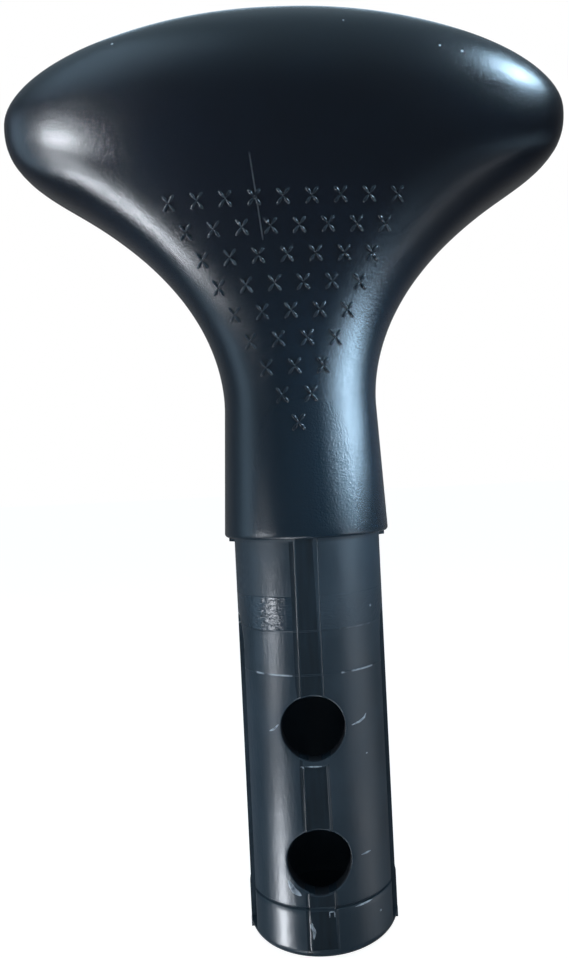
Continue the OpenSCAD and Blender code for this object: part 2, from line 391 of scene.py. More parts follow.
def strip_face(g, x, kind, share, radius=None):
    """How far the front skin lies from the centre plane, for any kind of column there."""
    radius = radius or g.shank_diameter / 2
    flat = g.shank_diameter / 2 + g.strip_height + 0.4 * (radius - g.shank_diameter / 2)
    around = math.sqrt(radius * radius - x * x)
    if kind == "strip":
        return flat
    if kind == "left":
        return around + EDGE[share][1] * (flat - around)
    ledge = around + 0.05
    if kind == "right":
        return ledge + EDGE[share][1] * (flat - ledge)
    if kind == "ledge":
        return ledge
    return around + 0.05 * EDGE[share][1] if kind == "outer" else around


def strip_x(g, z, kind, share):
    left, right, ledge = strip_edges(g, z)
    if kind == "strip":
        return left + share * (right - left)
    if kind == "left":
        return left - (1 - EDGE[share][0]) * g.strip_edge
    if kind == "right":
        return right + (1 - EDGE[share][0]) * 0.5 * g.strip_edge
    if kind == "ledge":
        return right + 0.5 * g.strip_edge if share == 0 else ledge
    return ledge + (1 - EDGE[share][0]) * 0.6 * g.strip_edge


def shank_row(g, cols, z, radius):
    """One row of the shank: round, with the strip, the two reliefs, their lands and the nibs."""
    r = g.shank_diameter / 2
    face = r - g.relief_depth
    run = math.sqrt(g.relief_runout ** 2 - (g.relief_runout - g.relief_depth) ** 2)
    flat_top = -g.relief_top - run
    end = g.end_round - g.shank_length
    on_collar = z < g.collar_height - g.shank_length - 0.03
    limit = 1e9
    if end <= z < -g.relief_top:
        limit = face
        if z > flat_top:
            limit += g.relief_runout - math.sqrt(g.relief_runout ** 2 - (z - flat_top) ** 2)
    row = []
    for turn, kind, share in cols:
        x, y = radius * math.sin(turn), -radius * math.cos(turn)
        if kind in STRIP and z > end - 0.01:
            x = float(strip_x(g, z, kind, share))
            y = -strip_face(g, x, kind, share, radius)
        elif abs(x) > limit:
            y *= limit / abs(x)
            x = math.copysign(limit, x)
        if kind == "land":
            side = math.copysign(1, turn)
            across = share * g.land_width / 2
            if z > -g.nib_height and abs(share) <= 0.81:
                x, y = side * (g.lip_diameter / 2 - g.lip_round - 0.2), across
            elif z < -g.relief_top and z > -g.shank_length - 0.01 and radius > 0.8 * r:
                stand = r - 0.1 + (g.collar_step if on_collar else 0)
                most = math.sqrt((r + (g.collar_step if on_collar else 0)) ** 2 - across ** 2)
                if limit < 1e8:
                    stand = min(most, max(stand, limit))
                x, y = side * stand, across
        row.append((x, y, z))
    return np.array(row)


def inner_rows(g, cols, levels):
    """Rows of the hollow from its top down to the floor of the closed end."""
    turn = np.array([c[0] for c in cols])
    s, c = np.sin(turn), np.cos(turn)
    line = half_outline(g)
    way = np.gradient(line, axis=0)
    way /= np.linalg.norm(way, axis=1, keepdims=True)
    inset = line - g.wall * np.c_[way[:, 1], -way[:, 0]]
    inset = spaced(inset[(inset[:, 1] > 6) & (inset[:, 0] > 0)], 3.0)[::-1][1:]
    rows = [section(g, s, c, w, z, g.wall) for w, z in inset]
    for z, r in levels:
        rows.append(np.c_[r * s, -r * c, np.full(s.size, z)])
    return rows, g.head_height - g.wall


def inner_levels(g, patch_levels):
    """(height, radius) of the rows of the bore. Beside the holes they match the outside's."""
    bore = g.shank_diameter / 2 - g.wall
    floor = g.wall - g.shank_length
    out = [(3.6, g.lip_diameter / 2 - 1.15 * g.wall), (2.4, bore + 0.4), (1.8, bore)]
    for levels in patch_levels:
        gap = out[-1][0] - levels[0]
        count = max(1, math.ceil(gap / 4))
        high = out[-1][0]
        out += [(high - gap * k / count, bore) for k in range(1, count)]
        out += [(z, bore) for z in levels]
    out += [(floor + 3, bore), (floor + 0.8, bore), (floor + 0.23, bore - 0.2), (floor, bore - 0.8),
            (floor, bore * 0.5)]
    return out


class Shell:
    """Vertices and faces of a closed mesh as they are added."""

    def __init__(self):
        self.points, self.faces = [], []

    def add(self, points):
        start = len(self.points)
        self.points.extend(map(tuple, points))
        return np.arange(start, start + len(points))

    def grid(self, rows, holes):
        """Rows of vertices joined all round, left open over each block of rows and columns."""
        ids = np.array([self.add(r) for r in rows])
        count = ids.shape[1]
        for i in range(len(ids) - 1):
            for j in range(count):
                if any(a <= i < b and c <= j < d for a, b, c, d in holes):
                    continue
                k = (j + 1) % count
                self.faces.append((ids[i, j], ids[i, k], ids[i + 1, k], ids[i + 1, j]))
        return ids

    def cap(self, ring, point):
        top = self.add([point])[0]
        for j in range(len(ring)):
            self.faces.append((ring[j], ring[(j + 1) % len(ring)], top))

    def bridge(self, one, two):
        for j in range(len(one)):
            k = (j + 1) % len(one)
            self.faces.append((one[j], one[k], two[k], two[j]))

    def mesh(self, name):
        """The shell as a closed mesh with its faces outwards."""
        used = sorted({v for f in self.faces for v in f})
        at = {v: k for k, v in enumerate(used)}
        data = bpy.data.meshes.new(name)
        data.from_pydata([Vector(self.points[v]) * MM for v in used], [],
                         [[at[v] for v in f] for f in self.faces])
        bm = bmesh.new()
        bm.from_mesh(data)
        bmesh.ops.recalc_face_normals(bm, faces=bm.faces)
        if bm.calc_volume(signed=True) < 0:
            bmesh.ops.reverse_faces(bm, faces=bm.faces)
        open_edges = sum(not e.is_manifold for e in bm.edges)
        if open_edges:
            raise RuntimeError(f"{name} has {open_edges} open edges")
        for f in bm.faces:
            f.smooth = True
        for e in bm.edges:
            e.smooth = e.calc_face_angle(0) < math.radians(23.5)
        bm.to_mesh(data)
        bm.free()
        return data


def rim_of(ids, a, b, c, d):
    """Vertices round a block of a grid, and for each its side."""
    top = [(ids[a, j], "top", j) for j in range(c, d)]
    right = [(ids[i, d], "side", d) for i in range(a, b)]
    bottom = [(ids[b, j], "bottom", j) for j in range(d, c, -1)]
    left = [(ids[i, c], "side", c) for i in range(b, a, -1)]
    return top + right + bottom + left


def bore_hole(shell, g, cols, outer, inner, block, inner_block, z_hole, gap):
    """A hole through the front wall: the mesh round it, its rounded rim, its wall, and inside.
    A gap leaves the skin below it bare of the strip."""
    r = g.shank_diameter / 2
    bore = r - g.wall
    radius, x_hole = g.hole_diameter / 2, g.front_shift
    edge_out = rim_of(outer, *block)
    edge_in = rim_of(inner, *inner_block)
    spokes = []
    ends = {}
    for v, side, j in edge_out:
        if side != "side" and cols[j][1] in STRIP:
            dx = shell.points[v][0] - x_hole
            key = (side, dx > 0)
            ends[key] = max(ends.get(key, 0), abs(dx))
    for v, side, j in edge_out:
        x, _, z = shell.points[v]
        dx, dz = x - x_hole, z - z_hole
        if side != "side" and cols[j][1] in STRIP:
            spokes.append((x, z, cols[j], "straight", dx, math.copysign(1, dz)))
            continue
        reach = ends[("top" if dz > 0 else "bottom", dx > 0)]
        fold = min(abs(math.atan2(dz, dx)), math.pi - abs(math.atan2(dz, dx)))
        fold *= math.acos(reach / radius) / math.atan2(PATCH, reach)
        a = fold if dx > 0 else math.pi - fold
        spokes.append((x, z, cols[0], "polar", math.copysign(a, dz), 0))

    def rim_point(spoke, rho):
        if spoke[3] == "straight":
            return x_hole + spoke[4], z_hole + spoke[5] * math.sqrt(rho ** 2 - spoke[4] ** 2)
        return x_hole + rho * math.cos(spoke[4]), z_hole + rho * math.sin(spoke[4])

    def skin(spoke, x, bare):
        _, kind, share = cols[0] if bare and spoke[5] < 0 else spoke[2]
        return -strip_face(g, x, kind, share)

    rings = [np.array([v for v, _, _ in edge_out])]
    soft = g.rim_round
    for t in (0.18, 0.36, 0.54, 0.63, 0.8, 1.0):
        pts = []
        for s in spokes:
            x1, z1 = rim_point(s, radius + soft)
            x, z = s[0] + (x1 - s[0]) * t, s[1] + (z1 - s[1]) * t
            pts.append((x, skin(s, x, gap and t > 0.6), z))
        rings.append(shell.add(pts))
    for a in np.radians([18, 36, 54, 72, 90]):
        rho = radius + soft * (1 - math.sin(a))
        pts = []
        for s in spokes:
            x, z = rim_point(s, rho)
            pts.append((x, skin(s, x, gap) + soft * (1 - math.cos(a)), z))
        rings.append(shell.add(pts))
    for t in (0.5, 1.0):
        pts = []
        for s in spokes:
            x, z = rim_point(s, radius)
            y0, y1 = skin(s, x, gap) + soft, -math.sqrt(bore ** 2 - x * x)
            pts.append((x, y0 + (y1 - y0) * t, z))
        rings.append(shell.add(pts))
    last = np.array([v for v, _, _ in edge_in])
    for t in (0.33, 0.66):
        pts = []
        for s, v in zip(spokes, last):
            x0, z0 = rim_point(s, radius)
            x1, _, z1 = shell.points[v]
            x, z = x0 + (x1 - x0) * t, z0 + (z1 - z0) * t
            pts.append((x, -math.sqrt(bore ** 2 - x * x), z))
        rings.append(shell.add(pts))
    rings.append(last)
    for one, two in zip(rings, rings[1:]):
        shell.bridge(one, two)


def grip_mesh(g):
    """The whole hollow moulding as one closed mesh."""
    cols = columns(g)
    first, last = (
        next(k for k, c in enumerate(cols)
             if c[1] == "plain" and abs(c[0] - math.asin(x / (g.shank_diameter / 2))) < 1e-9)
        for x in (FIELD_LEFT, FIELD_RIGHT))
    upper = head_rows(g, cols, 1.1)
    levels = shank_levels(g)
    rows = upper + [shank_row(g, cols, z, r) for z, r in levels]
    heights = np.array([z for z, _ in levels])
    centres = hole_heights(g)
    blocks, patch_levels = [], []
    for c in centres:
        a = int(np.argmin(np.abs(heights - (c + PATCH))))
        b = int(np.argmin(np.abs(heights - (c - PATCH))))
        blocks.append((a + len(upper), b + len(upper), first, last))
        patch_levels.append(list(heights[a:b + 1]))
    shell = Shell()
    outer = shell.grid(rows, blocks)
    shell.cap(outer[0], (0, 0, g.head_height))
    shell.cap(outer[-1], (0, 0, -g.shank_length))
    hollow, top = inner_rows(g, cols, inner_levels(g, patch_levels))
    inside = np.array([r[0][2] for r in hollow])
    inner_blocks = []
    for ls in patch_levels:
        a = int(np.argmin(np.abs(inside - ls[0])))
        inner_blocks.append((a, a + len(ls) - 1, first, last))
    inner = shell.grid(hollow, inner_blocks)
    shell.cap(inner[0], (0, 0, top))
    shell.cap(inner[-1], (0, 0, g.wall - g.shank_length))
    for k, z in enumerate(centres):
        bore_hole(shell, g, cols, outer, inner, blocks[k], inner_blocks[k], z, gap=(k == 0))
    return shell.mesh("grip_moulding")


# Nodes

SMOOTHSTEP = {"interpolation_type": "SMOOTHSTEP"}
COLOUR_MIX = {"data_type": "RGBA"}
MULTIPLY = {"operation": "MULTIPLY"}
MAXIMUM = {"operation": "MAXIMUM"}
PLASTIC_IOR = 1.49  # of polypropylene


def put(tree, kind, settings=None, sockets=None):
    """Adds one node, sets its attributes, and fills or links its inputs."""
    n = tree.nodes.new(kind)
    for key, value in (settings or {}).items():
        setattr(n, key, value)
    for key, value in (sockets or {}).items():
        if isinstance(value, bpy.types.NodeSocket):
            tree.links.new(value, n.inputs[key])
        else:
            n.inputs[key].default_value = value
    return n


def new_finish(name):
    """An empty material, its tree and its Object coordinates."""
    m = bpy.data.materials.new(name)
    m.use_nodes = True
    tree = m.node_tree
    tree.nodes.clear()
    return m, tree, put(tree, "ShaderNodeTexCoord").outputs["Object"]


def plastic(tree, tone, rough, bump=None):
    """Ends a tree in polypropylene of this tone and roughness, with a bump or without."""
    sockets = {"Base Color": tone, "Roughness": rough, "IOR": PLASTIC_IOR}
    if bump:
        sockets["Normal"] = bump.outputs[0]
    shade = put(tree, "ShaderNodeBsdfPrincipled", None, sockets)
    put(tree, "ShaderNodeOutputMaterial", None, {"Surface": shade.outputs[0]})


def band(tree, value, low, high, soft):
    """1 between two values, falling to 0 over a soft edge outside them."""
    rise = put(tree, "ShaderNodeMapRange", SMOOTHSTEP,
               {"Value": value, "From Min": low - soft, "From Max": low})
    fall = put(tree, "ShaderNodeMapRange", SMOOTHSTEP,
               {"Value": value, "From Min": high, "From Max": high + soft,
                "To Min": 1.0, "To Max": 0.0})
    both = {0: rise.outputs[0], 1: fall.outputs[0]}
    return put(tree, "ShaderNodeMath", MULTIPLY, both).outputs[0]


def front_only(tree, along, mask):
    """A mask kept on the front half of the grip and 0 on the back."""
    depth = put(tree, "ShaderNodeSeparateXYZ", None, {0: along}).outputs["Y"]
    front = put(tree, "ShaderNodeMath", {"operation": "LESS_THAN"}, {0: depth, 1: 0.0}).outputs[0]
    return put(tree, "ShaderNodeMath", MULTIPLY, {0: mask, 1: front}).outputs[0]


def scratch(tree, along, start, end, width):
    """A hairline between two places (x, z) in millimetres, seen from the front."""
    (x0, z0), (x1, z1) = start, end
    run = math.hypot(x1 - x0, z1 - z0)
    ux, uz = (x1 - x0) / run, (z1 - z0) / run

    def distance_along(x, z):
        dot = put(tree, "ShaderNodeVectorMath", {"operation": "DOT_PRODUCT"},
                  {0: along, 1: (x / MM, 0, z / MM)})
        return put(tree, "ShaderNodeMath", {"operation": "SUBTRACT"},
                   {0: dot.outputs["Value"], 1: x * x0 + z * z0}).outputs[0]

    line = band(tree, distance_along(-uz, ux), -width / 2, width / 2, width / 2)
    span = band(tree, distance_along(ux, uz), 0, run, 1.0)
    line = put(tree, "ShaderNodeMath", MULTIPLY, {0: line, 1: span}).outputs[0]
    return front_only(tree, along, line)


def speck(tree, along, x, z, size):
    """A dust speck on the front at (x, z) in millimetres."""
    flat = put(tree, "ShaderNodeVectorMath", MULTIPLY, {0: along, 1: (1 / MM, 0, 1 / MM)})
    far = put(tree, "ShaderNodeVectorMath", {"operation": "DISTANCE"},
              {0: flat.outputs[0], 1: (x, 0, z)})
    spot = put(tree, "ShaderNodeMapRange", SMOOTHSTEP,
               {"Value": far.outputs["Value"], "From Min": size / 2, "From Max": size,
                "To Min": 1.0, "To Max": 0.0}).outputs[0]
    return front_only(tree, along, spot)


# Finishes. The plastic's kind is a guess from its looks. Patterns are sized in millimetres.

HAIRLINE = ((-6.3, 62.2), (-4.95, 49.7), 0.16)  # start, end and width of the scratch
DUST = ((-28.5, 83.6, 0.3), (25.9, 80.5, 0.26), (29.7, 79.7, 0.3), (10.1, 85.4, 0.2))  # x, z, size


def head_finish(c):
    """Black polypropylene moulded against a spark-eroded cavity: satin, with a fine even grain."""
    m, t, coords = new_finish("Spark-grained black polypropylene")
    # real spark grain is about 0.1 mm, drawn at 0.34 mm so that it shows at this size
    grain = put(t, "ShaderNodeTexNoise", None,
                {"Vector": coords, "Scale": 1 / (0.34 * MM), "Detail": 2.0, "Roughness": 0.6})
    # slow waviness of a thick moulding as it shrinks, about 7 mm long
    sink = put(t, "ShaderNodeTexNoise", None,
               {"Vector": coords, "Scale": 1 / (7 * MM), "Detail": 1.0})
    # cloudy polish, in patches about 16 mm long
    rub = put(t, "ShaderNodeTexNoise", None,
              {"Vector": coords, "Scale": 1 / (16 * MM), "Detail": 3.0})
    rub = put(t, "ShaderNodeMapRange", None,
              {"Value": rub.outputs[0], "From Min": 0.35, "From Max": 0.7}).outputs[0]
    tone = put(t, "ShaderNodeMix", COLOUR_MIX,
               {"Factor": rub, "A": c.head_black, "B": c.head_sheen})
    # the black takes a slate cast towards the neck
    height = put(t, "ShaderNodeSeparateXYZ", None, {0: coords}).outputs["Z"]
    down = put(t, "ShaderNodeMapRange", SMOOTHSTEP,
               {"Value": height, "From Min": 60 * MM, "From Max": 8 * MM}).outputs[0]
    tone = put(t, "ShaderNodeMix", COLOUR_MIX,
               {"Factor": down, "A": tone.outputs["Result"], "B": c.neck_black})
    # one faint hairline and a few specks of dust
    faint = put(t, "ShaderNodeMath", MULTIPLY, {0: scratch(t, coords, *HAIRLINE), 1: 0.07})
    for x, z, size in DUST:
        faint = put(t, "ShaderNodeMath", MAXIMUM,
                    {0: faint.outputs[0], 1: speck(t, coords, x, z, size)})
    tone = put(t, "ShaderNodeMix", COLOUR_MIX,
               {"Factor": faint.outputs[0], "A": tone.outputs["Result"], "B": c.pale_marks_and_highlights})
    rough = put(t, "ShaderNodeMapRange", None, {"Value": rub, "To Min": 0.27, "To Max": 0.22})
    fine = put(t, "ShaderNodeBump", None,
               {"Height": grain.outputs[0], "Strength": 0.8, "Distance": 0.07 * MM})
    slow = put(t, "ShaderNodeBump", None,
               {"Height": sink.outputs[0], "Strength": 0.35, "Distance": 0.12 * MM,
                "Normal": fine.outputs[0]})
    plastic(t, tone.outputs["Result"], rough.outputs[0], slow)
    return m


def shank_gloss(t, coords, place, field):
    """Where the left of the shank is glossier, and that left side alone."""
    # all below the scored field is smoother too
    smooth = band(t, place["Z"], -80.0 * MM, -15.3 * MM, 0.3 * MM)
    smooth = put(t, "ShaderNodeMath", MULTIPLY, {0: smooth, 1: 0.65})
    gloss = put(t, "ShaderNodeMath", MAXIMUM, {0: smooth.outputs[0], 1: field})
    # above it the gloss comes in patches about 1 mm long
    scuff = put(t, "ShaderNodeTexNoise", None,
                {"Vector": coords, "Scale": 1 / (1.1 * MM), "Detail": 3.0})
    scuff = put(t, "ShaderNodeMapRange", None,
                {"Value": scuff.outputs[0], "From Min": 0.44, "From Max": 0.66, "To Max": 0.5})
    scuff = put(t, "ShaderNodeMath", MULTIPLY,
                {0: scuff.outputs[0], 1: band(t, place["Z"], -9.6 * MM, -3.0 * MM, 1.5 * MM)})
    gloss = put(t, "ShaderNodeMath", MAXIMUM, {0: gloss.outputs[0], 1: scuff.outputs[0]})
    left = put(t, "ShaderNodeMapRange", SMOOTHSTEP,
               {"Value": place["X"], "From Min": 2.0 * MM, "From Max": -3.0 * MM}).outputs[0]
    gloss = put(t, "ShaderNodeMath", MULTIPLY, {0: gloss.outputs[0], 1: left})
    return gloss.outputs[0], left


def torn_lines(t, coords, place):
    """Pale torn edges on the front of the two mould lines, fainter on the upper one."""
    torn = put(t, "ShaderNodeTexNoise", None,
               {"Vector": coords, "Scale": 1 / (2.2 * MM), "Detail": 2.0})
    torn = put(t, "ShaderNodeMapRange", None,
               {"Value": torn.outputs[0], "From Min": 0.42, "From Max": 0.56}).outputs[0]
    low_line = band(t, place["Z"], -22.55 * MM, -22.35 * MM, 0.1 * MM)
    high_line = band(t, place["Z"], -15.3 * MM, -15.15 * MM, 0.1 * MM)
    right_part = band(t, place["X"], 4.8 * MM, 9.8 * MM, 0.4 * MM)
    left_part = band(t, place["X"], -9.4 * MM, -3.7 * MM, 0.4 * MM)
    both = put(t, "ShaderNodeMath", MAXIMUM, {0: left_part, 1: right_part}).outputs[0]
    low_line = put(t, "ShaderNodeMath", MULTIPLY, {0: low_line, 1: both})
    high_line = put(t, "ShaderNodeMath", MULTIPLY, {0: high_line, 1: right_part})
    high_line = put(t, "ShaderNodeMath", MULTIPLY, {0: high_line.outputs[0], 1: 0.2})
    pale = put(t, "ShaderNodeMath", MAXIMUM, {0: low_line.outputs[0], 1: high_line.outputs[0]})
    pale = put(t, "ShaderNodeMath", MULTIPLY, {0: pale.outputs[0], 1: torn})
    pale = put(t, "ShaderNodeMath", MULTIPLY, {0: pale.outputs[0], 1: 0.6})
    return front_only(t, coords, pale.outputs[0])


def shank_finish(c):
    """Polypropylene moulded against plain turned steel: smoother, hazy slate, slightly wavy."""
    m, t, coords = new_finish("Smooth slate polypropylene")
    place = put(t, "ShaderNodeSeparateXYZ", None, {0: coords}).outputs
    # draw marks down the shank, about 1 mm apart and many millimetres long
    streak_map = put(t, "ShaderNodeMapping", None, {"Vector": coords, "Scale": (1, 1, 0.12)})
    streaks = put(t, "ShaderNodeTexNoise", None,
                  {"Vector": streak_map.outputs[0], "Scale": 1 / (1.1 * MM), "Detail": 3.0})
    # orange-peel waviness of a thin wall, about 2.6 mm long
    peel = put(t, "ShaderNodeTexNoise", None,
               {"Vector": coords, "Scale": 1 / (2.6 * MM), "Detail": 2.0})
    # haze in the skin, in clouds about 9 mm long
    haze = put(t, "ShaderNodeTexNoise", None,
               {"Vector": coords, "Scale": 1 / (9 * MM), "Detail": 4.0})
    haze = put(t, "ShaderNodeMapRange", None,
               {"Value": haze.outputs[0], "From Min": 0.38, "From Max": 0.66}).outputs[0]
    tone = put(t, "ShaderNodeMix", COLOUR_MIX,
               {"Factor": haze, "A": c.shank_slate, "B": c.shank_haze})
    # a field between 9.7 and 15 mm below the lip shows fine slanting scores
    field = band(t, place["Z"], -15.0 * MM, -9.7 * MM, 0.25 * MM)
    score_map = put(t, "ShaderNodeMapping", None,
                    {"Vector": coords, "Rotation": (0, math.radians(38), 0), "Scale": (0.3, 1, 1)})
    scores = put(t, "ShaderNodeTexNoise", None,
                 {"Vector": score_map.outputs[0], "Scale": 1 / (0.7 * MM), "Detail": 3.0,
                  "Distortion": 0.6})
    gloss, left = shank_gloss(t, coords, place, field)
    rough = put(t, "ShaderNodeMapRange", None, {"Value": haze, "To Min": 0.42, "To Max": 0.52})
    rough = put(t, "ShaderNodeMix", {"data_type": "FLOAT"},
                {"Factor": gloss, "A": rough.outputs[0], "B": 0.22}).outputs[0]
    # fine drag marks on the left side, taken as 0.2 mm and drawn at 0.45 mm so that they show
    drag_map = put(t, "ShaderNodeMapping", None, {"Vector": coords, "Scale": (1, 1, 0.35)})
    drag = put(t, "ShaderNodeTexNoise", None,
               {"Vector": drag_map.outputs[0], "Scale": 1 / (0.45 * MM), "Detail": 3.0,
                "Roughness": 0.6})
    above = band(t, place["Z"], -60.0 * MM, 1.0 * MM, 4.0 * MM)
    above = put(t, "ShaderNodeMath", MULTIPLY, {0: above, 1: left})
    drag = put(t, "ShaderNodeMath", MULTIPLY, {0: drag.outputs[0], 1: above.outputs[0]})
    cut = put(t, "ShaderNodeMath", MULTIPLY, {0: scores.outputs[0], 1: field})
    bump = None
    for height, strength, distance in (
            (streaks, 0.35, 0.07), (drag, 0.6, 0.07), (peel, 0.35, 0.12), (cut, 0.8, 0.15)):
        sockets = {"Height": height.outputs[0], "Strength": strength, "Distance": distance * MM}
        if bump:
            sockets["Normal"] = bump.outputs[0]
        bump = put(t, "ShaderNodeBump", None, sockets)
    tone = put(t, "ShaderNodeMix", COLOUR_MIX,
               {"Factor": torn_lines(t, coords, place), "A": tone.outputs["Result"],
                "B": c.pale_marks_and_highlights})
    plastic(t, tone.outputs["Result"], rough, bump)
    return m


def strip_finish(c):
    """The same polypropylene against a polished flat: darker and glossier than the round."""
    m, t, coords = new_finish("Polished slate polypropylene")
    streak_map = put(t, "ShaderNodeMapping", None, {"Vector": coords, "Scale": (1, 1, 0.1)})
    streaks = put(t, "ShaderNodeTexNoise", None,
                  {"Vector": streak_map.outputs[0], "Scale": 1 / (0.8 * MM), "Detail": 3.0})
    tone = put(t, "ShaderNodeMix", COLOUR_MIX,
               {"Factor": streaks.outputs[0], "A": c.strip_black, "B": c.shank_slate})
    lines = put(t, "ShaderNodeBump", None,
                {"Height": streaks.outputs[0], "Strength": 0.3, "Distance": 0.04 * MM})
    plastic(t, tone.outputs["Result"], 0.25, lines)
    return m


def bore_finish(c):
    """The same polypropylene on the walls of the holes: dull and nearly black."""
    m, t, coords = new_finish("Dull bore wall")
    drawn = put(t, "ShaderNodeTexNoise", None,
                {"Vector": coords, "Scale": 1 / (0.5 * MM), "Detail": 2.0})
    bump = put(t, "ShaderNodeBump", None,
               {"Height": drawn.outputs[0], "Strength": 0.4, "Distance": 0.05 * MM})
    plastic(t, c.head_black, 0.75, bump)
    return m


def cross_finish(c):
    """Black polypropylene on the polished tops of the crosses: glossier than the grain, with paler
    tops that are partly wear and partly painted glints.
    """
    m, t, coords = new_finish("Polished black polypropylene")
    wear_and_glint = put(t, "ShaderNodeTexNoise", None,
               {"Vector": coords, "Scale": 1 / (1.5 * MM), "Detail": 2.0})
    # the paler tone in the noise's patches is partly wear and partly painted glints
    tone = put(t, "ShaderNodeMix", COLOUR_MIX,
               {"Factor": wear_and_glint.outputs[0], "A": c.head_sheen, "B": c.cross_wear_and_glint})
    rough = put(t, "ShaderNodeMapRange", None,
                {"Value": wear_and_glint.outputs[0], "From Min": 0.3, "From Max": 0.7,
                 "To Min": 0.15, "To Max": 0.25})
    plastic(t, tone.outputs["Result"], rough.outputs[0])
    return m


def pale_flash_and_highlight_finish(c):
    """Polypropylene paled by stress where flash was torn off: dull slate grey. On the slivers at the
    hole rims and along the collar's top edge the pale grey is a painted highlight.
    """
    m, t, coords = new_finish("Stress-paled polypropylene")
    patchy = put(t, "ShaderNodeTexNoise", None,
                 {"Vector": coords, "Scale": 1 / (0.9 * MM), "Detail": 2.0})
    patchy = put(t, "ShaderNodeMapRange", None,
                 {"Value": patchy.outputs[0], "From Min": 0.4, "From Max": 0.8})
    tone = put(t, "ShaderNodeMix", COLOUR_MIX,
               {"Factor": patchy.outputs[0], "A": c.pale_marks_and_highlights, "B": c.shank_haze})
    plastic(t, tone.outputs["Result"], 0.3)
    return m


# Pieces


def new_piece(data):
    piece = bpy.data.objects.new(data.name, data)
    bpy.context.scene.collection.objects.link(piece)
    return piece


class PADDLEGRIP_OT_moulding(bpy.types.Operator):
    """Make the hollow moulding: head, neck, lip, shank, holes, collar and closed end"""

    bl_idname = "paddlegrip.moulding"
    bl_label = "Moulding"

    def execute(self, context):
        s = context.scene.paddle_grip
        g = in_mm(s.head, s.shank, s.holes)
        data = grip_mesh(g)
        for finish in (head_finish, shank_finish, strip_finish, bore_finish):
            data.materials.append(finish(s.colours))
        head, shank, strip, bore = range(4)
        bores = [h * MM for h in hole_heights(g)]
        bore_edge = (g.hole_diameter / 2 + 0.08) * MM
        # steep faces this near the middle get the strip's finish, and slanting ones on the flare
        strip_edge, flare_edge = 2.6 * MM, 1.3 * MM
        flat = (g.shank_diameter / 2 + g.strip_height) * MM
        for face in data.polygons:
            x, y, z = face.center
            ahead = face.normal.y
            middle = abs(x - g.front_shift * MM)
            above = z > -0.01 * MM and abs(face.normal.z + 1) > 1e-3
            face.material_index = head if above else shank
            if z < 0 and ahead < -0.999 and -0.08 * MM < y + flat < 0.01 * MM:
                face.material_index = strip
            elif -1.0 * MM < z < -0.01 * MM and middle < flare_edge and -0.999 < ahead < -0.8:
                face.material_index = strip
            if z < 0 and middle < strip_edge and abs(face.normal.x) > 0.2 and y < 0:
                face.material_index = strip
            elif any(math.hypot(middle, z - h) < bore_edge for h in bores) and y < 0:
                face.material_index = bore
        piece = new_piece(data)
        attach(piece, "root")
        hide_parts("grip")
        return {"FINISHED"}


# The Math nodes of the crosses: each line is a result, its operation and the two values it takes.
# First the place of each cross, counted back from the last one in a triangle of 1, 2, 3 ...
# crosses, then one arm, drawn from a ball's X, Y and Z.
CROSS_STEPS = (
    ("Count", "ADD", "Rows", 1.0),
    ("Count", "MULTIPLY", "Rows", "Count"),
    ("Count", "MULTIPLY", "Count", 0.5),
    ("Back", "SUBTRACT", "Count", 1.0),
    ("Back", "SUBTRACT", "Back", "Index"),
    ("Row", "MULTIPLY", "Back", 8.0),
    ("Row", "ADD", "Row", 1.0),
    ("Row", "SQRT", "Row", 0.0),
    ("Row", "SUBTRACT", "Row", 1.0),
    ("Row", "MULTIPLY", "Row", 0.5),
    ("Row", "ADD", "Row", 0.0001),
    ("Row", "FLOOR", "Row", 0.0),
    ("Shorter rows", "ADD", "Row", 1.0),
    ("Shorter rows", "MULTIPLY", "Row", "Shorter rows"),
    ("Shorter rows", "MULTIPLY", "Shorter rows", 0.5),
    ("Place", "SUBTRACT", "Back", "Shorter rows"),
    ("Half row", "MULTIPLY", "Row", 0.5),
    ("Across", "SUBTRACT", "Place", "Half row"),
    ("Across", "MULTIPLY", "Across", "Pitch"),
    ("Across", "ADD", "Across", "Shift"),
    ("Up", "MULTIPLY", "Row", "Row step"),
    ("Slope", "TANGENT", "Lean", 0.0),
    ("Slope", "MULTIPLY", "Up", "Slope"),
    ("Across", "SUBTRACT", "Across", "Slope"),
    ("Down", "SUBTRACT", "Rows", 1.0),
    ("Down", "SUBTRACT", "Down", "Row"),
    ("Down", "MULTIPLY", "Down", "Row step"),
    ("Height", "SUBTRACT", "First row", "Down"),
    ("Half arm", "MULTIPLY", "Stroke length", 0.25),
    ("Arm X", "ADD", "X", 0.94),
    ("Arm X", "MULTIPLY", "Arm X", "Half arm"),
    ("Half swell", "MULTIPLY", "Swell", 0.5),
    ("Arm Y", "MULTIPLY", "Y", "Stroke width"),
    ("Arm Y", "MULTIPLY", "Arm Y", "Half swell"),
    ("Arm Z", "MULTIPLY", "Z", "Relief"),
)


